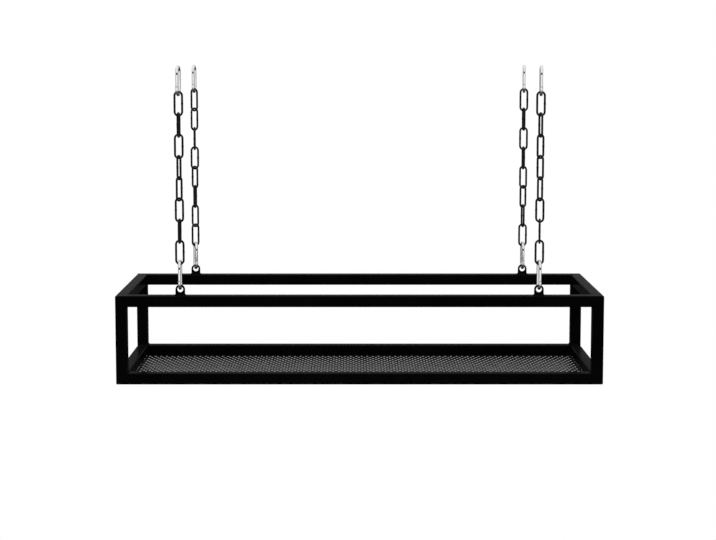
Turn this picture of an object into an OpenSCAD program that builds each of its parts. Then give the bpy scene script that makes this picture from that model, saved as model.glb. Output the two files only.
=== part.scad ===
// Hanging ceiling shelf: an open box frame of square steel tube with a
// perforated floor, hung from four chains with a snap hook at each end.
// The origin is at ceiling level, in the middle of the four top hooks, at
// the height where they rest on what holds them. +X runs to the right,
// +Y to the back and +Z up.

/* [Frame] */
// Length of the frame, left to right
frame_length = 800; // [400:5:1400]
// Depth of the frame, front to back
frame_depth = 250; // [150:5:500]
// Height of the frame
frame_height = 147; // [80:1:400]
// Outside width of the square tube
tube_size = 18.5; // [15:0.5:30]
// Wall of the square tube
tube_wall = 1.5; // [1:0.1:3]

/* [Perforated sheet] */
// Thickness of the sheet
sheet_thickness = 1; // [0.6:0.1:3]
// Openings along the sheet, which stand for its many small holes
openings_along = 12; // [4:2:12]
// Openings across the sheet
openings_across = 4; // [2:2:6]
// Size of an opening as a share of its place in the grid
opening_share = 0.64; // [0.3:0.01:0.8]

/* [Lugs] */
// Width of a lug, and diameter of its round top
lug_width = 15.7; // [14:0.1:22]
// Thickness of a lug
lug_thickness = 2.5; // [2:0.1:4]
// Diameter of the hole in a lug
lug_hole = 9.5; // [8:0.1:11]
// Height of the hole's centre above the frame
lug_hole_height = 9.8; // [9:0.1:16]
// Distance from the end of the frame to a lug's middle
lug_inset = 106; // [40:1:180]
// Leg of the weld round a lug's foot
weld_leg = 2; // [1:0.1:4]

/* [Chains] */
// Diameter of the link wire
link_wire = 3.5; // [2.6:0.1:3.5]
// Outside length of a link
link_length = 42; // [30:0.1:60]
// Outside width of a link
link_width = 15.8; // [15:0.1:20]
// Turn of each link of the front left chain about its length
turns_front_left = [15, 112, 5, 121, 57, 169, 83, 0];
// Turn of each link of the front right chain
turns_front_right = [0, 105, 34, 128, 49, 155, 83, 0];
// Turn of each link of the rear left chain
turns_rear_left = [150, 40, 100, 25, 140, 80, 150, 36];
// Turn of each link of the rear right chain
turns_rear_right = [0, 98, 165, 69, 145, 37, 101, 3];

/* [Snap hooks] */
// Outside length of a snap hook
hook_length = 50; // [45:0.5:70]
// Diameter of the hook wire
hook_wire = 5; // [4:0.1:5.5]
// Outside width of a snap hook
hook_width = 22; // [20:0.1:26]
// Diameter of the gate
gate_diameter = 4.6; // [4.4:0.1:4.8]
// Diameter of the gate's rivet
rivet_diameter = 1.8; // [1.5:0.1:2.2]
// Straight wire between the upper bend and the gate's free end
nose_wire = 1; // [0.5:0.1:4]
// Thickness of the tongue that the gate turns on
tongue_thickness = 2; // [1.4:0.1:2.2]
// Thickness of the nose that the gate closes over
nose_thickness = 1.5; // [1:0.1:1.8]
// Diameter of the cross pin in the nose
latch_pin = 1.4; // [1:0.1:1.6]
// Height of the gate's lips above the cross pin
latch_lip = 0.65; // [0.5:0.05:0.9]
// Outside diameter of the gate's spring
spring_diameter = 2; // [1.6:0.1:2.4]
// Wire of the gate's spring
spring_wire = 0.4; // [0.3:0.05:0.5]
// Length of the gate's spring
spring_length = 8; // [5:0.1:12]
// Turn of each top hook: front left, front right, rear left, rear right
top_hook_turns = [-6, -4, -5, -6];
// Turn of each bottom hook, in the same order
bottom_hook_turns = [0, 4, 18, 3];

/* [Fits] */
// Play where a chain swings on a hook, link or lug
pivot_gap = 0.5; // [0.3:0.05:0.8]
// Play between the other links of a chain
link_gap = 0.3; // [0.2:0.05:0.5]
// Radial clearance of the rivet
rivet_clearance = 0.05; // [0.02:0.01:0.1]
// Clearance beside the tongue and the nose inside the gate
gate_clearance = 0.25; // [0.15:0.05:0.4]
// Gap between the gate's ends and the hook
gate_end_gap = 0.6; // [0.4:0.1:0.8]

/* [Hidden] */
$fn = 48;

// Colours as in the photograph
frame_black = "#141416";
chain_black = "#1d1d1e";
zinc = "#c9ccd0";

// Corners in the order front left, front right, rear left, rear right
side_x = [-1, 1, -1, 1];
side_y = [-1, -1, 1, 1];
turns = [turns_front_left, turns_front_right, turns_rear_left, turns_rear_right];
link_count = len(turns_front_left);

// A cut reaches this far past the surface that it opens
over = 1;

// Hook: heights are measured from the middle of its wire at the lower end
hook_span = hook_length - hook_wire;
hook_radius = (hook_width - hook_wire) / 2;
top_centre = hook_span - hook_radius;
// The gate's round foot clears the lower bend, and its top the wire's end
rivet_place = hook_radius + gate_diameter / 2 + gate_end_gap;
nose_place = top_centre - nose_wire;
gate_top = nose_place - gate_end_gap;
pin_place = gate_top - latch_lip - gate_clearance - latch_pin / 2;
// The cross pin lies this far outside the middle of the gate
pin_offset = latch_pin;
nose_tip = pin_place - latch_pin / 2 - gate_clearance;
tongue_radius = gate_diameter / 2 - gate_clearance;
slot_top = rivet_place + tongue_radius + gate_clearance;
spring_bore = spring_diameter + 2 * gate_clearance;

// Heights down the chain, at the middle of each wire
top_hook_z = hook_wire / 2 - hook_span;
first_link_z = top_hook_z + (hook_wire + link_wire) / 2 + pivot_gap;
link_span = link_length - link_wire;
second_link_z = first_link_z - link_span + link_wire + pivot_gap;
link_pitch = link_span - link_wire - link_gap;
last_link_z = second_link_z - (link_count - 2) * link_pitch;
bottom_hook_z = last_link_z - link_span + (hook_wire + link_wire) / 2 + pivot_gap - hook_span;
lug_hole_z = bottom_hook_z + hook_wire / 2 + pivot_gap - lug_hole / 2;
frame_top = lug_hole_z - lug_hole_height;
frame_bottom = frame_top - frame_height;

// Middle lines of the tubes and of the four chains
rail_x = frame_length / 2 - tube_size / 2;
rail_y = frame_depth / 2 - tube_size / 2;
chain_x = frame_length / 2 - lug_inset;
inside_length = frame_length - 2 * tube_size;
inside_depth = frame_depth - 2 * tube_size;

// Square tube along X whose ends are mitred towards +Y
module mitred_tube(length) {
    half = tube_size / 2;
    difference() {
        linear_extrude(tube_size)
            polygon([
                [-length / 2, -half],
                [length / 2, -half],
                [length / 2 - tube_size, half],
                [-length / 2 + tube_size, half]
            ]);
        translate([-length / 2, -half + tube_wall, tube_wall])
            cube([length, tube_size - 2 * tube_wall, tube_size - 2 * tube_wall]);
    }
}

// One rail of a rectangle, standing on the given height
module rail(turn, reach, length, height) {
    color(frame_black)
        rotate([0, 0, turn])
            translate([0, -reach, height])
                mitred_tube(length);
}

// Corner post between the two rectangles
module post(corner) {
    height = frame_height - 2 * tube_size;
    inner = tube_size - 2 * tube_wall;
    color(frame_black)
        translate([side_x[corner] * rail_x, side_y[corner] * rail_y, frame_bottom + tube_size])
            linear_extrude(height)
                difference() {
                    square(tube_size, center = true);
                    square(inner, center = true);
                }
}

// Floor between the bottom rails, flush with their underside. Its plain grid
// leaves the same share open as the small round holes of the real sheet.
module perforated_sheet() {
    place_x = inside_length / openings_along;
    place_y = inside_depth / openings_across;
    color(frame_black)
        translate([0, 0, frame_bottom])
            linear_extrude(sheet_thickness)
                difference() {
                    square([inside_length, inside_depth], center = true);
                    for (column = [0.5 : openings_along - 0.5], row = [0.5 : openings_across - 0.5])
                        translate([column * place_x - inside_length / 2, row * place_y - inside_depth / 2])
                            square([opening_share * place_x, opening_share * place_y], center = true);
                }
}

// Round-topped eye welded upright on the middle of a top rail
module lug(corner) {
    color(frame_black)
        translate([side_x[corner] * chain_x, side_y[corner] * rail_y, frame_top]) {
            rotate([90, 0, 0])
                linear_extrude(lug_thickness, center = true)
                    difference() {
                        union() {
                            translate([0, lug_hole_height])
                                circle(d = lug_width);
                            translate([-lug_width / 2, 0])
                                square([lug_width, lug_hole_height]);
                            weld_section(lug_width);
                        }
                        translate([0, lug_hole_height])
                            circle(d = lug_hole);
                    }
            rotate([90, 0, 90])
                linear_extrude(lug_width, center = true)
                    weld_section(lug_thickness);
        }
}

// Section through the weld on both sides of a plate of the given width
module weld_section(width) {
    polygon([
        [-width / 2 - weld_leg, 0],
        [width / 2 + weld_leg, 0],
        [width / 2, weld_leg],
        [-width / 2, weld_leg]
    ]);
}

// Link in the XZ plane, hanging from the middle of its upper wire
module link() {
    radius = (link_width - link_wire) / 2;
    straight = link_span - 2 * radius;
    translate([0, 0, -radius])
        rotate([90, 0, 0])
            half_ring(radius, link_wire);
    translate([0, 0, -link_span + radius])
        rotate([-90, 0, 0])
            half_ring(radius, link_wire);
    for (side = [-1, 1])
        translate([side * radius, 0, -radius - straight])
            cylinder(d = link_wire, h = straight);
}

// Half ring in the XY plane on the +Y side
module half_ring(radius, wire) {
    rotate_extrude(angle = 180)
        translate([radius, 0])
            circle(d = wire);
}

// First link, which swings on the top hook
module top_link(corner) {
    color(chain_black)
        at_chain(corner, first_link_z)
            rotate([0, 0, turns[corner][0]])
                link();
}

// All other links of one chain
module chain(corner) {
    color(chain_black)
        for (place = [1 : link_count - 1])
            at_chain(corner, second_link_z - (place - 1) * link_pitch)
                rotate([0, 0, turns[corner][place]])
                    link();
}

module at_chain(corner, height) {
    translate([side_x[corner] * chain_x, side_y[corner] * rail_y, height])
        children();
}

// Hook pieces are drawn in the XZ plane with the gate at +X, which then
// faces the front; the hook is turned about its length by the given angle
module at_hook(corner, top) {
    turn = top ? top_hook_turns[corner] : bottom_hook_turns[corner];
    at_chain(corner, top ? top_hook_z : bottom_hook_z)
        rotate([0, 0, turn - 90])
            children();
}

// Moves children onto the gate's arm, with +X outwards
module on_gate_arm(place) {
    translate([hook_radius, 0, place])
        children();
}

// Bent wire body with the tongue for the rivet and the nose for the latch
module hook_body(corner, top) {
    color(zinc)
        at_hook(corner, top) {
            translate([0, 0, top_centre])
                rotate([90, 0, 0])
                    half_ring(hook_radius, hook_wire);
            translate([0, 0, hook_radius])
                rotate([-90, 0, 0])
                    half_ring(hook_radius, hook_wire);
            translate([-hook_radius, 0, hook_radius])
                cylinder(d = hook_wire, h = top_centre - hook_radius);
            tongue();
            nose();
        }
}

// Flat tongue with a round end, drilled for the rivet
module tongue() {
    width = 2 * tongue_radius;
    on_gate_arm(0)
        rotate([90, 0, 0])
            linear_extrude(tongue_thickness, center = true)
                difference() {
                    union() {
                        translate([-width / 2, hook_radius])
                            square([width, rivet_place - hook_radius]);
                        translate([0, rivet_place])
                            circle(d = width);
                    }
                    translate([0, rivet_place])
                        circle(d = rivet_diameter + 2 * rivet_clearance);
                }
}

// End of the wire above the latch, with a flat nose and its cross pin
module nose() {
    half = gate_diameter / 2;
    on_gate_arm(0) {
        translate([0, 0, nose_place])
            cylinder(d = hook_wire, h = nose_wire);
        translate([-half / 2, -nose_thickness / 2, nose_tip])
            cube([half / 2 + pin_offset + latch_pin / 2, nose_thickness, nose_place - nose_tip]);
        translate([pin_offset, 0, pin_place])
            rotate([90, 0, 0])
                cylinder(d = latch_pin, h = gate_diameter - 2 * gate_clearance, center = true);
    }
}

// Gate: a rod with a fork for the tongue, a bore for the spring and two
// lips that close over the cross pin
module gate(corner, top) {
    fork_gap = tongue_thickness + 2 * gate_clearance;
    latch_gap = nose_thickness + 2 * gate_clearance;
    notch = latch_pin + 2 * gate_clearance;
    color(zinc)
        at_hook(corner, top)
            on_gate_arm(0)
                difference() {
                    union() {
                        translate([0, 0, rivet_place])
                            sphere(d = gate_diameter);
                        translate([0, 0, rivet_place])
                            cylinder(d = gate_diameter, h = gate_top - rivet_place);
                    }
                    translate([-gate_diameter, -fork_gap / 2, -over])
                        cube([2 * gate_diameter, fork_gap, slot_top + over]);
                    translate([0, 0, rivet_place])
                        rotate([90, 0, 0])
                            cylinder(d = rivet_diameter + 2 * rivet_clearance, h = 2 * gate_diameter, center = true);
                    translate([0, 0, slot_top - over])
                        cylinder(d = spring_bore, h = spring_length + gate_clearance + over);
                    translate([-gate_diameter, -latch_gap / 2, nose_tip - gate_clearance])
                        cube([2 * gate_diameter, latch_gap, gate_top - nose_tip + gate_clearance + over]);
                    translate([pin_offset - notch / 2, -gate_diameter, pin_place - notch / 2])
                        cube([gate_diameter, 2 * gate_diameter, notch]);
                }
}

// Spring inside the gate, drawn as a sleeve of the coil's size
module gate_spring(corner, top) {
    color(zinc)
        at_hook(corner, top)
            on_gate_arm(slot_top)
                linear_extrude(spring_length)
                    difference() {
                        circle(d = spring_diameter);
                        circle(d = spring_diameter - 2 * spring_wire);
                    }
}

// Rivet through the fork and the tongue
module rivet(corner, top) {
    color(zinc)
        at_hook(corner, top)
            on_gate_arm(rivet_place)
                rotate([90, 0, 0])
                    cylinder(d = rivet_diameter, h = gate_diameter, center = true);
}

module top_hook_rivets() {
    for (corner = [0 : 3])
        rivet(corner, true);
}

rail(0, rail_y, frame_length, frame_top - tube_size);  // top_rail_front
rail(180, rail_y, frame_length, frame_top - tube_size);  // top_rail_rear
rail(-90, rail_x, frame_depth, frame_top - tube_size);  // top_rail_left
rail(90, rail_x, frame_depth, frame_top - tube_size);  // top_rail_right
rail(0, rail_y, frame_length, frame_bottom);  // bottom_rail_front
rail(180, rail_y, frame_length, frame_bottom);  // bottom_rail_rear
rail(-90, rail_x, frame_depth, frame_bottom);  // bottom_rail_left
rail(90, rail_x, frame_depth, frame_bottom);  // bottom_rail_right
post(0);  // post_front_left
post(1);  // post_front_right
post(2);  // post_rear_left
post(3);  // post_rear_right
perforated_sheet();
lug(0);  // lug_front_left
lug(1);  // lug_front_right
lug(2);  // lug_rear_left
lug(3);  // lug_rear_right
hook_body(0, true);  // top_hook_front_left
hook_body(1, true);  // top_hook_front_right
hook_body(2, true);  // top_hook_rear_left
hook_body(3, true);  // top_hook_rear_right
gate(0, true);  // top_gate_front_left
gate(1, true);  // top_gate_front_right
gate(2, true);  // top_gate_rear_left
gate(3, true);  // top_gate_rear_right
gate_spring(0, true);  // top_spring_front_left
gate_spring(1, true);  // top_spring_front_right
gate_spring(2, true);  // top_spring_rear_left
gate_spring(3, true);  // top_spring_rear_right
top_hook_rivets();
top_link(0);  // top_link_front_left
top_link(1);  // top_link_front_right
top_link(2);  // top_link_rear_left
top_link(3);  // top_link_rear_right
chain(0);  // chain_front_left
chain(1);  // chain_front_right
chain(2);  // chain_rear_left
chain(3);  // chain_rear_right
hook_body(0, false);  // bottom_hook_front_left
hook_body(1, false);  // bottom_hook_front_right
hook_body(2, false);  // bottom_hook_rear_left
hook_body(3, false);  // bottom_hook_rear_right
gate(0, false);  // bottom_gate_front_left
gate(1, false);  // bottom_gate_front_right
gate(2, false);  // bottom_gate_rear_left
gate(3, false);  // bottom_gate_rear_right
gate_spring(0, false);  // bottom_spring_front_left
gate_spring(1, false);  // bottom_spring_front_right
gate_spring(2, false);  // bottom_spring_rear_left
gate_spring(3, false);  // bottom_spring_rear_right
rivet(0, false);  // bottom_rivet_front_left
rivet(1, false);  // bottom_rivet_front_right
rivet(2, false);  // bottom_rivet_rear_left
rivet(3, false);  // bottom_rivet_rear_right
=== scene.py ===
from math import pi, radians

import bmesh
import bpy
import numpy as np
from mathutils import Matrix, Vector


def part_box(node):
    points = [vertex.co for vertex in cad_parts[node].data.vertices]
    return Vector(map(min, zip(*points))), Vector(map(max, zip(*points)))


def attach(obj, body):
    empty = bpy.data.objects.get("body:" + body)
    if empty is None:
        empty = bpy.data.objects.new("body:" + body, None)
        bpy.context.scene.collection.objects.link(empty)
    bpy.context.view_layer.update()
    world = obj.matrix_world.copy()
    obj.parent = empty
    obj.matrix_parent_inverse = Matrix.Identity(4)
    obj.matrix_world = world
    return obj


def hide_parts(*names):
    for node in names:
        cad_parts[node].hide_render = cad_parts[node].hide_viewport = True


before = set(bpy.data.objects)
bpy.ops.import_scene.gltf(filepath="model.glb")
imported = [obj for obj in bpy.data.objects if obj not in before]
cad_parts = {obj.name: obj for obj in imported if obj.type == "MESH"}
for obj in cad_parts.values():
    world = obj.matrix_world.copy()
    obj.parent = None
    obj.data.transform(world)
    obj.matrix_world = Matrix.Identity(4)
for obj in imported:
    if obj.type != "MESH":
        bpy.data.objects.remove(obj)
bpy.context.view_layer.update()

# Frame
# Twelve lengths of cold formed steel tube. Four mitred rails make the upper
# rectangle, four the lower one, and four posts stand between them. The welds
# on the outside are dressed flush before the powder coat, those inside stay.
MM = 0.001
CORNERS = ("front_left", "front_right", "rear_left", "rear_right")
rail_low, rail_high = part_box("top_rail_front")
tube_size = rail_high.z - rail_low.z
half_length = rail_high.x
half_depth = -rail_low.y
frame_top = rail_high.z
frame_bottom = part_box("bottom_rail_front")[0].z
tube_radius = 1.8 * MM
flat_margin = 0.3 * MM
weld_leg = 2 * MM
weld_ripple = 1.6 * MM
weld_swell = 0.08
ripple_bow = 0.9
bead_fullness = 0.6
bead_points = 7
ripple_steps = 6
run_out_power = 10
coat_index = 1.045
merge_distance = 0.002 * MM
crease_angle = 35


def linear(code):
    """A colour from its sRGB hex code, each channel turned to linear light."""
    channels = np.array([int(code[i:i + 2], 16) for i in (1, 3, 5)]) / 255
    light = np.where(channels <= 0.04045, channels / 12.92, ((channels + 0.055) / 1.055) ** 2.4)
    return (*light, 1)


def add_node(material, kind, inputs, **settings):
    """Adds one shader node, with its settings and with values or links for its inputs."""
    node = material.node_tree.nodes.new(kind)
    for name, value in settings.items():
        setattr(node, name, value)
    for name, value in inputs.items():
        if isinstance(value, bpy.types.NodeSocket):
            material.node_tree.links.new(value, node.inputs[name])
        else:
            node.inputs[name].default_value = value
    return node


def new_material(name):
    """An empty material, and the point of the object's own space for its patterns."""
    material = bpy.data.materials.new(name)
    material.use_nodes = True
    material.node_tree.nodes.clear()
    place = add_node(material, "ShaderNodeTexCoord", {})
    return material, place.outputs["Object"]


def mottling(material, place, size, low, high, detail=2):
    """Noise in patches of about the given size: its values from 0.3 to 0.7 are
    carried over to the range from low to high."""
    noise = add_node(material, "ShaderNodeTexNoise", {"Vector": place, "Scale": 1 / size, "Detail": detail})
    inputs = {"Value": noise.outputs["Fac"], "From Min": 0.3, "From Max": 0.7, "To Min": low, "To Max": high}
    return add_node(material, "ShaderNodeMapRange", inputs).outputs["Result"]


def mottled_colour(material, place, size, first, second, detail=2):
    """A colour that wanders between two in patches of about the given size."""
    share = mottling(material, place, size, 0, 1, detail)
    colours = {6: linear(first), 7: linear(second)}
    return add_node(material, "ShaderNodeMix", {0: share, **colours}, data_type="RGBA").outputs[2]


def dimpled(material, place, size, strength, depth, detail=2):
    """The surface's direction with soft dimples of about the given size."""
    noise = add_node(material, "ShaderNodeTexNoise", {"Vector": place, "Scale": 1 / size, "Detail": detail})
    inputs = {"Height": noise.outputs["Fac"], "Strength": strength, "Distance": depth}
    return add_node(material, "ShaderNodeBump", inputs).outputs["Normal"]


def finish_surface(material, shader_inputs):
    """Puts the shader with these inputs on the surface."""
    shader = add_node(material, "ShaderNodeBsdfPrincipled", shader_inputs)
    add_node(material, "ShaderNodeOutputMaterial", {"Surface": shader.outputs["BSDF"]})


def powder_coat(name, index):
    """Black polyester powder coat, baked on, with a fine orange peel. It gives
    the eye a deep black that hardly shines face on, which the low index gives,
    and turns grey at a low angle. Faces that look up are painted a little paler:
    fine dust there, and a painted sheen of the light from above. The peel
    is really 1.5 mm across and is drawn at 4 mm, so that it shows."""
    material, place = new_material(name)
    skin = mottled_colour(material, place, 60 * MM, "#020202", "#050506")
    geometry = add_node(material, "ShaderNodeNewGeometry", {})
    upward = add_node(material, "ShaderNodeSeparateXYZ", {"Vector": geometry.outputs["Normal"]})
    # Faces that look up are mixed towards a paler grey: partly fine dust, partly a painted sheen of the light
    # from above.
    lint_and_sheen = add_node(material, "ShaderNodeMath", {
        0: upward.outputs["Z"], 1: mottling(material, place, 9 * MM, 0.5, 1, 4)},
        operation="MULTIPLY", use_clamp=True)
    dusted_and_sheened = add_node(material, "ShaderNodeMix", {
        0: lint_and_sheen.outputs["Value"], 6: skin, 7: linear("#0c0c0b")}, data_type="RGBA")
    finish_surface(material, {
        "Base Color": dusted_and_sheened.outputs[2], "Roughness": mottling(material, place, 12 * MM, 0.24, 0.32),
        "IOR": index, "Normal": dimpled(material, place, 4 * MM, 0.25, 0.1 * MM)})
    return material


coat = powder_coat("black powder coat on tube", coat_index)


def grid_faces(rows, columns, ring=False, loop=False):
    """Quads of a grid of points numbered row by row. With ring each row closes
    on itself, and with loop the last row joins the first."""
    row, column = np.meshgrid(
        np.arange(rows if loop else rows - 1), np.arange(columns if ring else columns - 1), indexing="ij")
    next_row, next_column = (row + 1) % rows, (column + 1) % columns
    corners = [(row, column), (row, next_column), (next_row, next_column), (next_row, column)]
    return np.stack([r * columns + c for r, c in corners], axis=-1).reshape(-1, 4).tolist()


def end_faces(rows, columns):
    """One face over the first row and one over the last."""
    last = (rows - 1) * columns
    return [list(range(columns)), list(range(last, last + columns))]


def join(parts):
    """Several lists of points and faces as one."""
    points, faces, count = [], [], 0
    for part_points, part_faces in parts:
        points.append(part_points)
        faces += [[index + count for index in face] for face in part_faces]
        count += len(part_points)
    return np.concatenate(points), faces


def add_piece(name, shape, material, body, stands_for=()):
    """A finished piece from its points and faces: doubles are merged, faces
    turned outwards and edges creased where they bend by more than the crease angle."""
    points, faces = shape
    mesh = bpy.data.meshes.new(name)
    mesh.from_pydata(points.tolist(), [], faces)
    shell = bmesh.new()
    shell.from_mesh(mesh)
    bmesh.ops.remove_doubles(shell, verts=shell.verts, dist=merge_distance)
    bmesh.ops.recalc_face_normals(shell, faces=shell.faces)
    shell.to_mesh(mesh)
    shell.free()
    mesh.polygons.foreach_set("use_smooth", np.ones(len(mesh.polygons), bool))
    mesh.set_sharp_from_angle(angle=radians(crease_angle))
    mesh.materials.append(material)
    piece = bpy.data.objects.new(name, mesh)
    bpy.context.scene.collection.objects.link(piece)
    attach(piece, body)
    for node in stands_for:
        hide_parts(node)
    return piece


def turned(points, angle, shift):
    """The points turned about the upright axis by an angle in degrees, then shifted."""
    cosine, sine = np.cos(radians(angle)), np.sin(radians(angle))
    turn = np.array([[cosine, -sine, 0], [sine, cosine, 0], [0, 0, 1]])
    return points.reshape(-1, 3) @ turn.T + np.array(shift)


def rounded_square(size, radius):
    """Outline of a tube: each corner is a quarter circle, with one more point a
    little way along the flat on either side, which keeps the flats flat."""
    angle = np.linspace(0, pi / 2, 6)
    arc = radius * np.stack([np.cos(angle), np.sin(angle)], axis=1)
    before, after = [[radius, -flat_margin]], [[-flat_margin, radius]]
    corner = np.concatenate([before, arc, after]) + size / 2 - radius
    quarter = np.array([[0, 1], [-1, 0]])
    return np.concatenate([corner @ np.linalg.matrix_power(quarter, k) for k in range(4)])


def rail_shape(reach, end, turn, height):
    """The tube's outline carried along a rail. A point at depth d behind the
    outer face follows the frame's outline set in by d, where the corner has the
    radius max(tube radius - d, 0), and stops at the 45 degree mitre."""
    outline = rounded_square(tube_size, tube_radius)
    depth = outline[:, 0] + tube_size / 2
    bend = np.linspace(0, pi / 4, 5)[:, None]
    rest = np.maximum(tube_radius - depth, 0)
    inset = np.maximum(tube_radius, depth)
    along = end - inset + rest * np.sin(bend)
    inward = inset - rest * np.cos(bend)
    along = np.concatenate([-along[::-1], along])
    inward = np.concatenate([inward[::-1], inward])
    upward = np.broadcast_to(outline[:, 1] + tube_size / 2 + height, along.shape)
    points = turned(np.stack([along, inward - reach, upward], axis=-1), turn, (0, 0, 0))
    rows, columns = along.shape
    return points, grid_faces(rows, columns, ring=True) + end_faces(rows, columns)


# Each rail's distance from the middle, half its length, and its turn.
RAILS = {
    "front": (half_depth, half_length, 0), "rear": (half_depth, half_length, 180),
    "left": (half_length, half_depth, -90), "right": (half_length, half_depth, 90),
}
for level, height in (("top", frame_top - tube_size), ("bottom", frame_bottom)):
    for side, (reach, end, turn) in RAILS.items():
        node = f"{level}_rail_{side}"
        add_piece(f"tube_{node}", rail_shape(reach, end, turn, height), coat, "shelf_frame", [node])


def post_shape(x, y):
    """The tube's outline carried upwards, into the rails by their edge radius,
    where the dressed weld runs flush over the rails' round edges."""
    outline = rounded_square(tube_size, tube_radius)
    levels = [frame_bottom + tube_size - tube_radius, frame_top - tube_size + tube_radius]
    points = np.concatenate([np.insert(outline, 2, level, axis=1) for level in levels])
    rows, columns = len(levels), len(outline)
    return turned(points, 0, (x, y, 0)), grid_faces(rows, columns, ring=True) + end_faces(rows, columns)


def bead_reach(phase, run_out=1):
    """How far a fillet weld reaches along its two walls. Across, it is a curve
    between a chord and a quarter circle. Along, it swells and sinks as the
    cosine of the phase, which makes a whole turn for each ripple and runs ahead
    in the middle of the weld's face, so that the ripples are bowed."""
    angle = np.linspace(0, pi / 2, bead_points)
    swell = 1 + weld_swell * np.cos(phase + ripple_bow * np.sin(2 * angle))
    size = weld_leg * run_out * swell / (np.cos(angle) + np.sin(angle)) ** bead_fullness
    return (size * np.cos(angle))[..., None], (size * np.sin(angle))[..., None]


def bead_shape(start, end, first_wall, second_wall):
    """A fillet weld in the inside corner between two walls. It runs out to
    nothing at both ends, as sqrt(1 - |distance from its middle| ** power)."""
    start, end = np.array(start), np.array(end)
    length = np.linalg.norm(end - start)
    steps = int(length / weld_ripple) * ripple_steps + 1
    place = np.linspace(0, 1, steps)[:, None]
    run_out = np.clip(1 - np.abs(2 * place - 1) ** run_out_power, 0, 1) ** 0.5
    first, second = bead_reach(2 * pi * (place * length / weld_ripple), run_out)
    line = (start + place * (end - start))[:, None, :]
    bead = line + first * np.array(first_wall) + second * np.array(second_wall)
    points = np.concatenate([bead, line], axis=1)
    return points.reshape(-1, 3), grid_faces(steps, bead_points + 1, ring=True)


for corner in CORNERS:
    side_x = 1 if "right" in corner else -1
    side_y = 1 if "rear" in corner else -1
    middle = (side_x * (half_length - tube_size / 2), side_y * (half_depth - tube_size / 2))
    add_piece(f"tube_post_{corner}", post_shape(*middle), coat, "shelf_frame", [f"post_{corner}"])
    inner_x, inner_y = side_x * (half_length - tube_size), side_y * (half_depth - tube_size)
    outer_x = side_x * (half_length - tube_radius)
    outer_y = side_y * (half_depth - tube_radius)
    into_x, into_y = (-side_x, 0, 0), (0, -side_y, 0)
    for level, seam, edge, away in (
            ("top", frame_top - tube_size, frame_top, -1),
            ("bottom", frame_bottom + tube_size, frame_bottom, 1)):
        post_foot = (0, 0, away)
        beads = [
            bead_shape((inner_x, outer_y, seam), (inner_x, inner_y, seam), into_x, post_foot),
            bead_shape((outer_x, inner_y, seam), (inner_x, inner_y, seam), into_y, post_foot),
            bead_shape((inner_x, inner_y, seam), (inner_x, inner_y, edge + away * tube_radius),
                       into_x, into_y),
        ]
        add_piece(f"weld_{level}_{corner}", join(beads), coat, "shelf_frame")

# Perforated floor
# One sheet of 1 mm steel with punched 7 mm holes in rows 60 degrees apart, cut
# to fit between the bottom rails and welded flush with their underside. The
# powder coat narrows its holes and lies smoother on it than on the tube.
sheet_low, sheet_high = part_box("perforated_sheet")
hole_diameter = 7 * MM
hole_pitch = 10 * MM
row_pitch = hole_pitch * np.sin(pi / 3)
end_border = 3 * MM
side_border = 7.5 * MM
coat_build = 0.08 * MM
sheet_coat_index = 1.45
side_points = 4


def hole_centres(length, depth):
    """Centres of the holes, row by row, every other row half a pitch along with
    one hole less, and each row's place and count of holes."""
    columns = int((length - 2 * end_border - hole_diameter) / hole_pitch) + 1
    rows = int((depth - 2 * side_border - hole_diameter) / row_pitch) + 1
    counts = columns - np.arange(rows) % 2
    heights = (np.arange(rows) - (rows - 1) / 2) * row_pitch
    lines = [(np.arange(count) - (count - 1) / 2) * hole_pitch for count in counts]
    centres = np.concatenate([np.stack([x, np.full(len(x), y)], axis=1) for x, y in zip(lines, heights)])
    return centres, heights, counts


def perforated_shape(low, high):
    """Round each hole lies a cell of one pitch by one row, whose edge shares its
    points with the cells beside it, and a ring of quads joins the edge to the
    hole. Strips fill the border, and every free edge gets a wall. Both layers
    of coat are added on top, so that the underside stays flush."""
    centres, heights, counts = hole_centres(high.x - low.x, high.y - low.y)
    gap, around = hole_pitch / side_points, 4 * side_points
    across = np.linspace(-0.5, 0.5, side_points + 1)[:-1]
    side = np.full(side_points, -0.5)
    square = np.concatenate([np.stack(pair, axis=1) for pair in (
        (across, side), (-side, across), (-across, -side), (side, -across))])
    edge = square * (hole_pitch, row_pitch)
    angle = np.arange(around) * 2 * pi / around - 3 * pi / 4
    rim = (hole_diameter / 2 - coat_build) * np.stack([np.cos(angle), np.sin(angle)], axis=1)
    cells = centres[:, None, None, :] + np.stack([edge, rim])
    flat, quads = [cells.reshape(-1, 2)], []
    ring = np.array(grid_faces(2, around, ring=True))
    quads.append((np.arange(len(centres))[:, None, None] * 2 * around + ring).reshape(-1, 4))
    widest = max(counts) * hole_pitch / 2
    strips = []
    for height, count in zip(heights, counts):
        reach = np.arange(count * hole_pitch / 2, widest + gap / 2, gap)
        steps = height + np.linspace(-0.5, 0.5, side_points + 1) * row_pitch
        strips += [(sign * np.append(reach, high.x), steps) for sign in (-1, 1)]
    line = np.concatenate([[low.x], np.arange(-widest, widest + gap / 2, gap), [high.x]])
    last = heights[-1] + row_pitch / 2
    strips += [(line, np.array([sign * last, sign * high.y])) for sign in (-1, 1)]
    for along, steps in strips:
        quads.append(np.array(grid_faces(len(steps), len(along))) + sum(len(part) for part in flat))
        flat.append(np.stack(np.meshgrid(along, steps), axis=-1).reshape(-1, 2))
    return thickened(np.concatenate(flat), np.concatenate(quads), low.z, high.z + 2 * coat_build)


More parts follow.
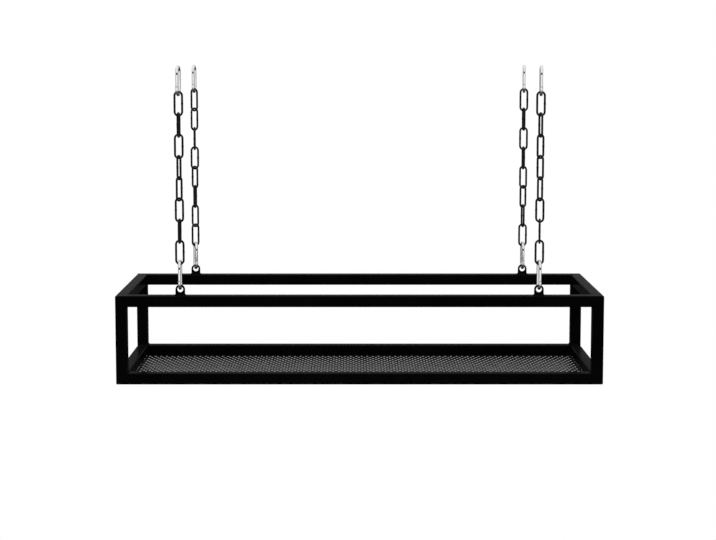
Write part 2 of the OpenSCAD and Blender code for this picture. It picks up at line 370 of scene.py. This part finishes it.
def thickened(flat, quads, low, high):
    """A plate from a flat net: its points are merged, its faces stand at both
    heights, and a wall follows each edge that belongs to one face alone."""
    flat, number = np.unique(np.round(flat, 8), axis=0, return_inverse=True)
    quads = number.reshape(-1)[quads]
    edges = np.concatenate([quads[:, [k, (k + 1) % 4]] for k in range(4)])
    _, first, uses = np.unique(np.sort(edges, axis=1), axis=0, return_index=True, return_counts=True)
    free = edges[first[uses == 1]]
    count = len(flat)
    walls = np.concatenate([free[:, ::-1], free + count], axis=1)
    points = np.concatenate([np.insert(flat, 2, level, axis=1) for level in (high, low)])
    return points, np.concatenate([quads, quads + count, walls]).tolist()


sheet_coat = powder_coat("black powder coat on smooth sheet", sheet_coat_index)
add_piece("punched_floor", perforated_shape(sheet_low, sheet_high), sheet_coat, "shelf_frame",
          ["perforated_sheet"])

# Lugs
# Four eyes of 2.5 mm steel plate with a round top and a drilled hole. They stand
# in the middle of the tube's width on the front and rear top rails, with a
# fillet weld all round the foot, and are powder coated with the frame.
lug_low, lug_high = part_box("lug_front_left")
lug_width = 15.7 * MM
lug_thickness = 2.5 * MM
lug_hole = 9.5 * MM
lug_edge = 0.35 * MM
hole_height = lug_high.z - lug_low.z - lug_width / 2


def lug_place(corner):
    """The middle of a corner's lug, seen from above. The chain hangs over it."""
    low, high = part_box(f"lug_{corner}")
    return (low.x + high.x) / 2, (low.y + high.y) / 2


def lug_shape(x, y):
    """Rings round the hole: each ring goes from the hole over the front face,
    the outer edge and the rear face back to the hole, with its edges broken.
    The outline is a half circle on two sides and a straight foot."""
    half = lug_width / 2
    arc = np.linspace(0, pi, 33)
    side = np.linspace(-hole_height, 0, 6)[:-1]
    foot = np.linspace(-half, half, 9)[1:-1]
    outline = np.concatenate([
        np.stack([np.full(len(side), half), side], axis=1),
        half * np.stack([np.cos(arc), np.sin(arc)], axis=1),
        np.stack([np.full(len(side), -half), side[::-1]], axis=1),
        np.stack([foot, np.full(len(foot), -hole_height)], axis=1)])
    distance = np.linalg.norm(outline, axis=1, keepdims=True)
    direction = outline / distance
    hole, face = lug_hole / 2, lug_thickness / 2
    inner = face - lug_edge
    rings = [
        (hole + lug_edge, -face), (distance - lug_edge, -face), (distance, -inner), (distance, inner),
        (distance - lug_edge, face), (hole + lug_edge, face), (hole, inner), (hole, -inner)]
    points = np.array([np.insert(direction * radius, 1, place, axis=1) for radius, place in rings])
    points = turned(points, 0, (x, y, lug_low.z + hole_height))
    return points, grid_faces(len(rings), len(outline), ring=True, loop=True)


def foot_weld_shape(x, y):
    """The fillet carried once round the foot. At a corner of the plate the
    weld turns about the corner, and its ripples go on at the same pitch."""
    bends = np.array([(1, -1), (1, 1), (-1, 1), (-1, -1)]) * (lug_width / 2, lug_thickness / 2)
    stops, ways = [], []
    for k, (bend, following) in enumerate(zip(bends, np.roll(bends, -1, axis=0))):
        angle = np.linspace(-pi / 2, 0, bead_points) + k * pi / 2
        stops.append(np.tile(bend, (len(angle), 1)))
        ways.append(np.stack([np.cos(angle), np.sin(angle)], axis=1))
        count = int(np.linalg.norm(following - bend) / weld_ripple) * ripple_steps
        share = np.linspace(0, 1, count + 2)[1:-1, None]
        stops.append(bend + share * (following - bend))
        ways.append(np.tile(ways[-1][-1], (count, 1)))
    stop, way = np.concatenate(stops), np.concatenate(ways)
    toe = stop + weld_leg / 2 * way
    step = np.linalg.norm(np.diff(toe, axis=0, append=toe[:1]), axis=1)
    run = np.concatenate([[0], np.cumsum(step)[:-1]]) / step.sum()
    outward, upward = bead_reach(2 * pi * round(step.sum() / weld_ripple) * run[:, None])
    bead = np.concatenate([stop[:, None, :] + outward * way[:, None, :], upward], axis=-1)
    root = np.insert(stop, 2, 0, axis=1)[:, None, :]
    points = turned(np.concatenate([bead, root], axis=1), 0, (x, y, lug_low.z))
    return points, grid_faces(len(stop), bead_points + 1, ring=True, loop=True)


for corner in CORNERS:
    place = lug_place(corner)
    add_piece(f"plate_lug_{corner}", lug_shape(*place), coat, "shelf_frame", [f"lug_{corner}"])
    add_piece(f"weld_lug_{corner}", foot_weld_shape(*place), coat, "shelf_frame")

# Chains
# Four chains of eight long links, bent from 3.5 mm steel wire, butt welded in
# the middle of one side and dipped in black lacquer. Every link hangs in the
# one above it, and the first in the ceiling's hook.

# Each link's turn about its length in degrees, from the top down.
LINK_TURNS = {
    "front_left": (15, 112, 5, 121, 57, 169, 83, 0), "front_right": (0, 105, 34, 128, 49, 155, 83, 0),
    "rear_left": (150, 40, 100, 25, 140, 80, 150, 36), "rear_right": (0, 98, 165, 69, 145, 37, 101, 3),
}
link_wire = 3.5 * MM
link_width = 15.8 * MM
link_low, link_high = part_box("top_link_front_left")
link_length = link_high.z - link_low.z
link_sides = 16
butt_weld_width = 1.1 * MM
butt_weld_height = 0.3 * MM
rub_reach = 3 * MM


def black_lacquer():
    """Black lacquer, dipped over bare steel: a soft dark shine, greyer in specks
    where the links rub and the lacquer is thin. The mesh's attribute rub says
    where that is."""
    material, place = new_material("black lacquered steel")
    worn = add_node(material, "ShaderNodeAttribute", {}, attribute_name="rub")
    rubbed = add_node(material, "ShaderNodeMath", {
        0: worn.outputs["Fac"], 1: mottling(material, place, 3 * MM, 0, 1, 3)}, operation="MULTIPLY")
    film = mottled_colour(material, place, 20 * MM, "#0c0c0d", "#121213")
    colour = add_node(material, "ShaderNodeMix", {
        0: rubbed.outputs["Value"], 6: film, 7: linear("#262628")}, data_type="RGBA")
    finish_surface(material, {
        "Base Color": colour.outputs[2], "Roughness": mottling(material, place, 3 * MM, 0.34, 0.46, 3),
        "IOR": 1.18, "Normal": dimpled(material, place, 2.5 * MM, 0.15, 0.08 * MM)})
    return material


lacquer = black_lacquer()


def link_shape(turn, top, x, y):
    """A round wire along a long ring, two half circles joined by two straight
    sides: its section is line + radius * (cos a * outward + sin a * Y). Half
    way down one side the radius swells over the weld by a bell curve."""
    radius = (link_width - link_wire) / 2
    straight = link_length - link_width
    arc = np.linspace(0, pi, 13)
    side = straight * (0.5 - np.linspace(0, 1, 13)[1:-1])
    upper = np.stack([radius * np.cos(arc), 0 * arc, radius * np.sin(arc) + straight / 2], axis=1)
    left = np.stack([np.full(len(side), -radius), 0 * side, side], axis=1)
    line = np.concatenate([upper, left, -upper, -left])
    centre = np.array([0, 0, 1]) * np.clip(line[:, 2:], -straight / 2, straight / 2)
    outward = (line - centre) / radius
    welded = np.exp(-(line[:, 2] / butt_weld_width) ** 2) * (line[:, 0] > 0)
    radii = link_wire / 2 + butt_weld_height * welded
    angle = np.arange(link_sides) * 2 * pi / link_sides
    out = np.cos(angle)[None, :, None] * outward[:, None, :]
    level = np.sin(angle)[None, :, None] * np.array([0, 1, 0])
    points = line[:, None, :] + radii[:, None, None] * (out + level)
    faces = grid_faces(len(line), link_sides, ring=True, loop=True)
    return turned(points, turn, (x, y, top - link_length / 2)), faces


def mark_rubbing(piece, ends):
    """The attribute rub falls from 1 at the heights where links meet to 0 a
    little way off."""
    places = np.empty(3 * len(piece.data.vertices), np.float32)
    piece.data.vertices.foreach_get("co", places)
    nearest = np.min(np.abs(places[2::3, None] - np.array(ends)), axis=1)
    rub = piece.data.attributes.new("rub", "FLOAT", "POINT")
    rub.data.foreach_set("value", np.clip(1 - nearest / rub_reach, 0, 1))


for corner in CORNERS:
    x, y = lug_place(corner)
    low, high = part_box(f"chain_{corner}")
    first_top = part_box(f"top_link_{corner}")[1].z
    turns = LINK_TURNS[corner]
    pitch = (high.z - low.z - link_length) / (len(turns) - 2)
    tops = [first_top] + [high.z - k * pitch for k in range(len(turns) - 1)]
    for number, (turn, top) in enumerate(zip(turns, tops), 1):
        first = number == 1
        body = f"first_link_{corner}" if first else f"hanging_chain_{corner}"
        node = f"top_link_{corner}" if first else f"chain_{corner}"
        shape = link_shape(turn, top, x, y)
        link = add_piece(f"link_{corner}_{number}", shape, lacquer, body, [node])
        mark_rubbing(link, [top - link_wire, top - link_length + link_wire])

# Snap hooks
# Eight hooks of 5 mm round steel wire, bent to a long eye and zinc plated. A gate
# with a spring inside turns on a rivet through the wire's flattened end, and
# closes over a nose with a cross pin at the other end.

# Each hook's turn about its length in degrees.
HOOK_TURNS = {
    "top": dict(zip(CORNERS, (-6, -4, -5, -6))), "bottom": dict(zip(CORNERS, (0, 4, 18, 3))),
}
hook_wire = 5 * MM
hook_width = 22 * MM
hook_radius = (hook_width - hook_wire) / 2
wire_sides = 20
gate_diameter = 4.6 * MM
gate_gap = 0.6 * MM
gate_clearance = 0.25 * MM
wire_edge = 0.3 * MM
nose_wire = 1 * MM
nose_thickness = 1.5 * MM
nose_edge = 0.2 * MM
latch_lip = 0.65 * MM
latch_pin = 1.4 * MM
pin_dome = 0.4 * MM
tongue_thickness = 2 * MM
tip_share = 0.8
rivet_diameter = 1.8 * MM
rivet_head = 1.3 * MM
rivet_dome = 0.55 * MM
rivet_seat = 0.15 * MM
spring_wire = 0.4 * MM
spring_diameter = 2 * MM
spring_length = 8 * MM
spring_turns = 12
hook_low, hook_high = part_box("top_hook_front_left")
hook_span = hook_high.z - hook_low.z - hook_wire
top_centre = hook_span - hook_radius
rivet_place = hook_radius + gate_diameter / 2 + gate_gap
nose_place = top_centre - nose_wire
pin_place = nose_place - gate_gap - latch_lip - gate_clearance - latch_pin / 2
nose_tip = pin_place - latch_pin / 2 - gate_clearance
tongue_radius = gate_diameter / 2 - gate_clearance


def zinc_plate():
    """Bright passivated zinc on steel. It gives the eye a light grey metal, near
    to a mirror but for fine tumbling marks, and slightly cloudy. The marks are
    really 0.2 mm wide and are drawn at 1.5 mm, so that they show."""
    material, place = new_material("bright zinc plate")
    finish_surface(material, {
        "Metallic": 1.0, "Base Color": mottled_colour(material, place, 7 * MM, "#efeff0", "#e0e1e3", 3),
        "Roughness": mottling(material, place, 5 * MM, 0.07, 0.14),
        "Normal": dimpled(material, place, 1.5 * MM, 0.05, 0.03 * MM, 3)})
    return material


zinc = zinc_plate()


def latch_shade_steel():
    """The nose and its pin inside the latch: steel coloured dark and dull, a painted shade for the gap under
    the gate.
    """
    material, place = new_material("dark steel painted as latch shade")
    finish_surface(material, {
        "Metallic": 1.0, "Base Color": mottled_colour(material, place, 2 * MM, "#3a3b3d", "#2a2b2d", 3),
        "Roughness": mottling(material, place, 2 * MM, 0.35, 0.5, 3)})
    return material


latch_painted_shade = latch_shade_steel()


def gate_arm(heights):
    """Points at these heights on the middle line of the arm that holds the gate."""
    return np.stack([np.full(len(heights), hook_radius), heights], axis=1)


def hook_wire_shape():
    """The section along the bent wire is |x / a| ** p + |y / b| ** p = 1. In
    the bends and the back arm a = b = half the wire and p = 2. Towards the
    tongue b falls to half its thickness, a to its radius and p rises to 8,
    and the tongue ends in a half circle. Above the nose the edge is broken."""
    low_turn = np.linspace(0, -pi, 25)
    top_turn = np.linspace(pi, 0, 25)
    tip = np.linspace(pi / 2, 0, 9)
    tongue = rivet_place + tongue_radius * np.sin(tip)
    press = np.linspace(rivet_place, hook_radius, 7)[1:-1]
    low_bend = hook_radius * np.stack([np.cos(low_turn), 1 + np.sin(low_turn)], axis=1)
    top_bend = np.stack([hook_radius * np.cos(top_turn), top_centre + hook_radius * np.sin(top_turn)], axis=1)
    end = np.array([nose_place + wire_edge, nose_place, nose_place])
    line = np.concatenate([gate_arm(tongue), gate_arm(press), low_bend, top_bend, gate_arm(end)])
    count = len(tongue) + len(press)
    ahead = np.concatenate([
        np.tile((1.0, 0.0), (count, 1)), np.stack([np.cos(low_turn), np.sin(low_turn)], axis=1),
        np.stack([np.cos(top_turn), np.sin(top_turn)], axis=1), np.tile((1.0, 0.0), (len(end), 1))])
    flat = np.concatenate([np.ones(len(tongue)), np.linspace(1, 0, len(press) + 2)[1:-1] ** 2,
                           np.zeros(len(line) - count)])
    wire = hook_wire / 2
    wide = wire * (1 - flat) + tongue_radius * flat
    wide[:len(tongue)] = tongue_radius * np.cos(tip)
    thick = wire * (1 - flat) + tongue_thickness / 2 * flat
    thick[0] *= tip_share
    wide[-2:], thick[-2:] = wire - wire_edge, wire - wire_edge
    wide[-1], thick[-1] = 0, 0
    power = 2 + 6 * flat
    angle = np.arange(wire_sides) * 2 * pi / wire_sides
    cosine, sine = np.cos(angle), np.sin(angle)
    across = wide[:, None] * np.sign(cosine) * np.abs(cosine) ** (2 / power[:, None])
    beside = thick[:, None] * np.sign(sine) * np.abs(sine) ** (2 / power[:, None])
    points = np.stack([line[:, :1] + across * ahead[:, :1], beside,
                       line[:, 1:] + across * ahead[:, 1:]], axis=-1)
    return points.reshape(-1, 3), grid_faces(len(line), wire_sides, ring=True)


def turned_shape(profile, sides=16):
    """A profile of (radius, place) turned about the Y axis through the origin."""
    angle = np.arange(sides) * 2 * pi / sides
    radius, place = np.array(profile).T[:, :, None]
    points = np.stack([radius * np.cos(angle), place + 0 * angle, radius * np.sin(angle)], axis=-1)
    return points.reshape(-1, 3), grid_faces(len(profile), sides, ring=True)


def moved(shape, shift):
    """The same shape, shifted."""
    return shape[0] + np.array(shift), shape[1]


def nose_shape():
    """A flat blade with broken edges under the wire's end, and its cross pin
    with domed ends."""
    left, right = -gate_diameter / 4, 1.5 * latch_pin
    half = nose_thickness / 2
    side = np.array([(left, half - nose_edge), (left + nose_edge, half),
                     (right - nose_edge, half), (right, half - nose_edge)])
    outline = np.concatenate([side, side[::-1] * (1, -1)])
    levels = [(nose_tip, tip_share), (nose_tip + nose_edge, 1), (nose_place + nose_edge, 1)]
    middle = np.array([(left + right) / 2, 0])
    points = np.concatenate([
        np.insert(middle + (outline - middle) * share, 2, level, axis=1) for level, share in levels])
    size = len(levels), len(outline)
    blade = points, grid_faces(*size, ring=True) + end_faces(*size)
    pin, reach = latch_pin / 2, gate_diameter / 2 - gate_clearance
    profile = [(0, -reach), (0.7 * pin, -reach + pin_dome / 4), (pin, -reach + pin_dome),
               (pin, reach - pin_dome), (0.7 * pin, reach - pin_dome / 4), (0, reach)]
    return join([blade, moved(turned_shape(profile, 12), (latch_pin, 0, pin_place))])


def rivet_shape():
    """A shank between two heads, each a quarter of an ellipse turned round. The
    heads sit a little way into the gate's round side and stand 0.4 mm proud."""
    face = gate_diameter / 2 - rivet_seat
    angle = np.linspace(0, pi / 2, 6)
    dome = np.stack([rivet_head * np.cos(angle), face + rivet_dome * np.sin(angle)], axis=1)
    side = np.concatenate([[(rivet_diameter / 2, 0), (rivet_diameter / 2, face)], dome])
    profile = np.concatenate([side[::-1] * (1, -1), side[1:]])
    return moved(turned_shape(profile), (hook_radius, 0, rivet_place))


def spring_shape():
    """A coiled wire: its line is a helix whose pitch is the length over the turns,
    and its section is carried on the helix's outward and upward directions."""
    sides, steps = 6, 14
    base = rivet_place + tongue_radius + gate_clearance + spring_wire / 2
    radius = (spring_diameter - spring_wire) / 2
    around = np.linspace(0, 2 * pi * spring_turns, spring_turns * steps + 1)
    height = base + (spring_length - spring_wire) * around / around[-1]
    line = np.stack([hook_radius + radius * np.cos(around), radius * np.sin(around), height], axis=1)
    outward = np.stack([np.cos(around), np.sin(around), 0 * around], axis=1)
    angle = np.arange(sides) * 2 * pi / sides
    out = np.cos(angle)[None, :, None] * outward[:, None, :]
    up = np.sin(angle)[None, :, None] * np.array([0, 0, 1])
    points = line[:, None, :] + spring_wire / 2 * (out + up)
    return points.reshape(-1, 3), grid_faces(len(line), sides, ring=True) + end_faces(len(line), sides)


def hung(shape, turn, x, y, base):
    """A hook's piece, drawn with the gate's arm at +X and the wire's middle line
    lowest at the origin, turned so that this arm is in front, then turned about
    the hook's length, and put in its place."""
    return turned(shape[0], turn - 90, (x, y, base)), shape[1]


for level in ("top", "bottom"):
    for corner in CORNERS:
        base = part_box(f"{level}_hook_{corner}")[0].z + hook_wire / 2
        place = (HOOK_TURNS[level][corner], *lug_place(corner), base)
        top = level == "top"
        hook_body = "ceiling_hooks" if top else f"lower_hook_{corner}"
        gate_body = f"{'upper' if top else 'lower'}_gate_{corner}"
        rivet_node = "top_hook_rivets" if top else f"bottom_rivet_{corner}"
        add_piece(f"wire_hook_{level}_{corner}", hung(hook_wire_shape(), *place), zinc, hook_body,
                  [f"{level}_hook_{corner}"])
        # The nose and its pin are dark steel: painted shade for the gap inside the latch.
        add_piece(f"latch_nose_{level}_{corner}", hung(moved(nose_shape(), (hook_radius, 0, 0)), *place),
                  latch_painted_shade, hook_body, [f"{level}_hook_{corner}"])
        add_piece(f"domed_rivet_{level}_{corner}", hung(rivet_shape(), *place), zinc, hook_body,
                  [rivet_node])
        add_piece(f"coil_spring_{level}_{corner}", hung(spring_shape(), *place), zinc, gate_body,
                  [f"{level}_spring_{corner}"])
        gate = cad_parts[f"{level}_gate_{corner}"]
        gate.data.materials.clear()
        gate.data.materials.append(zinc)

# Studio
# A white room 2.4 m high, from whose ceiling the shelf hangs, lit from above,
# from above behind and from both sides. The floor keeps the shelf's shadow near
# the middle and is plain white further out, so no horizon shows.
room_height = 2.4
floor_size = 16.0
shadow_reach = (0.5, 1.3)
lit_share = 0.25


def any_ray(tree, kinds):
    """1 for rays of any of the named kinds, else 0."""
    rays = add_node(tree, "ShaderNodeLightPath", {})
    amount = rays.outputs[kinds[0]]
    for kind in kinds[1:]:
        amount = add_node(tree, "ShaderNodeMath", {0: amount, 1: rays.outputs[kind]},
                          operation="MAXIMUM").outputs["Value"]
    return amount


def floor_paint():
    """Matt white floor paint. A quarter of it near the middle is lit, which keeps
    the shadow, and the rest is plain white, as all of it is further out."""
    material, place = new_material("white studio floor")
    distance = add_node(material, "ShaderNodeVectorMath", {0: place}, operation="LENGTH")
    share = add_node(material, "ShaderNodeMapRange", {
        "Value": distance.outputs["Value"], "From Min": shadow_reach[0], "From Max": shadow_reach[1],
        "To Min": 1 - lit_share, "To Max": 1.0}, interpolation_type="SMOOTHSTEP")
    seen = any_ray(material, ("Is Camera Ray", "Is Glossy Ray", "Is Transmission Ray"))
    amount = add_node(material, "ShaderNodeMath", {0: seen, 1: share.outputs["Result"]}, operation="MULTIPLY")
    lit = add_node(material, "ShaderNodeBsdfDiffuse", {"Color": linear("#f4f4f4")})
    plain = add_node(material, "ShaderNodeEmission", {"Color": linear("#ffffff"), "Strength": 1.0})
    mix = add_node(material, "ShaderNodeMixShader", {
        0: amount.outputs["Value"], 1: lit.outputs["BSDF"], 2: plain.outputs["Emission"]})
    add_node(material, "ShaderNodeOutputMaterial", {"Surface": mix.outputs["Shader"]})
    return material


def add_floor():
    """A square floor below the frame, with its own origin in its middle."""
    half = floor_size / 2
    mesh = bpy.data.meshes.new("studio_floor")
    mesh.from_pydata([(-half, -half, 0), (half, -half, 0), (half, half, 0), (-half, half, 0)],
                     [], [(0, 1, 2, 3)])
    mesh.materials.append(floor_paint())
    floor = bpy.data.objects.new("studio_floor", mesh)
    bpy.context.scene.collection.objects.link(floor)
    floor.location.z = -room_height
    floor.visible_glossy = False


# What gloss sees, by a direction's height Z or depth Y: where the light starts
# and stops to change, and how strong it is there. A white ceiling is overhead,
# a pale band of backdrop lies low behind, and the front is white but near the floor.
GLOSS = {
    "overhead": ("Z", 0.25, 0.5, 0.1, 1.0),
    "band_rises": ("Z", -0.02, 0.04, 0.1, 0.85), "band_falls": ("Z", 0.05, 0.22, 1.0, 0.12),
    "in_front": ("Y", 0.15, -0.5, 0.0, 1.0), "off_floor": ("Z", -0.6, -0.2, 0.06, 1.0),
}
ambient_strength = 0.5


def add_surroundings():
    """White for the camera, the brightest of ceiling, band and front for gloss,
    and an even soft light for all else."""
    world = bpy.data.worlds.new("white room")
    bpy.context.scene.world = world
    world.use_nodes = True
    world.node_tree.nodes.clear()
    place = add_node(world, "ShaderNodeTexCoord", {})
    direction = add_node(world, "ShaderNodeSeparateXYZ", {"Vector": place.outputs["Generated"]})
    light = {}
    for name, (axis, start, stop, first, last) in GLOSS.items():
        light[name] = add_node(world, "ShaderNodeMapRange", {
            "Value": direction.outputs[axis], "From Min": start, "From Max": stop, "To Min": first,
            "To Max": last}).outputs["Result"]
    band = add_node(world, "ShaderNodeMath", {
        0: light["band_rises"], 1: light["band_falls"]}, operation="MULTIPLY")
    front = add_node(world, "ShaderNodeMath", {
        0: light["in_front"], 1: light["off_floor"]}, operation="MULTIPLY")
    behind = add_node(world, "ShaderNodeMath", {
        0: light["overhead"], 1: band.outputs["Value"]}, operation="MAXIMUM")
    gloss = add_node(world, "ShaderNodeMath", {
        0: behind.outputs["Value"], 1: front.outputs["Value"]}, operation="MAXIMUM")
    shown = any_ray(world, ("Is Glossy Ray",))
    seen = any_ray(world, ("Is Camera Ray", "Is Transmission Ray"))
    soft = add_node(world, "ShaderNodeMix", {0: shown, 2: ambient_strength, 3: gloss.outputs["Value"]})
    strength = add_node(world, "ShaderNodeMix", {0: seen, 2: soft.outputs[0], 3: 1.0})
    background = add_node(world, "ShaderNodeBackground", {
        "Color": linear("#ffffff"), "Strength": strength.outputs[0]})
    add_node(world, "ShaderNodeOutputWorld", {"Surface": background.outputs["Background"]})


def add_softbox(name, place, aim, size, power):
    """A rectangular lamp at a place, facing a point. Only its light is seen."""
    lamp = bpy.data.lights.new(name, "AREA")
    lamp.shape = "RECTANGLE"
    lamp.size, lamp.size_y = size
    lamp.energy = power
    holder = bpy.data.objects.new(name, lamp)
    bpy.context.scene.collection.objects.link(holder)
    holder.location = place
    holder.rotation_euler = (Vector(aim) - Vector(place)).to_track_quat("-Z", "Y").to_euler()
    holder.visible_camera = False
    holder.visible_glossy = False


# Each lamp's place, the point that it faces, its size in metres and its watts.
SOFTBOXES = {
    "softbox_above": ((0, -0.3, 1.6), (0, 0, -0.45), (2.4, 1.6), 34),
    "softbox_behind": ((0, 1.5, 1.3), (0, 0, -0.45), (2.4, 1.2), 12),
    "softbox_left": ((-2.2, -0.8, 0.4), (0, 0, -0.3), (1.2, 1.8), 34),
    "softbox_right": ((2.2, -0.8, 0.4), (0, 0, -0.3), (1.2, 1.8), 34),
}
add_floor()
add_surroundings()
for name, (place, aim, size, power) in SOFTBOXES.items():
    add_softbox(name, place, aim, size, power)

# Camera
# It stands in front of the shelf just above ceiling hook height, looks a
# little down, and keeps the photograph's framing with a small shift.
image_width, image_height = 716, 540
focal_pixels = 1418
axis_pixel = (353.3, 181.2)
camera_pitch = 4.874
camera_place = (-10.3 * MM, -2417 * MM, 13.15 * MM)


def add_camera():
    """The focal length in millimetres is its length in pixels times the sensor's
    width over the picture's width."""
    lens = bpy.data.cameras.new("camera")
    lens.sensor_width = 36
    lens.lens = focal_pixels * lens.sensor_width / image_width
    lens.shift_x = (image_width / 2 - axis_pixel[0]) / image_width
    lens.shift_y = (axis_pixel[1] - image_height / 2) / image_width
    camera = bpy.data.objects.new("camera", lens)
    bpy.context.scene.collection.objects.link(camera)
    camera.location = camera_place
    camera.rotation_euler = (radians(90 - camera_pitch), 0, 0)
    bpy.context.scene.camera = camera


add_camera()
bpy.context.scene.view_settings.view_transform = "Standard"
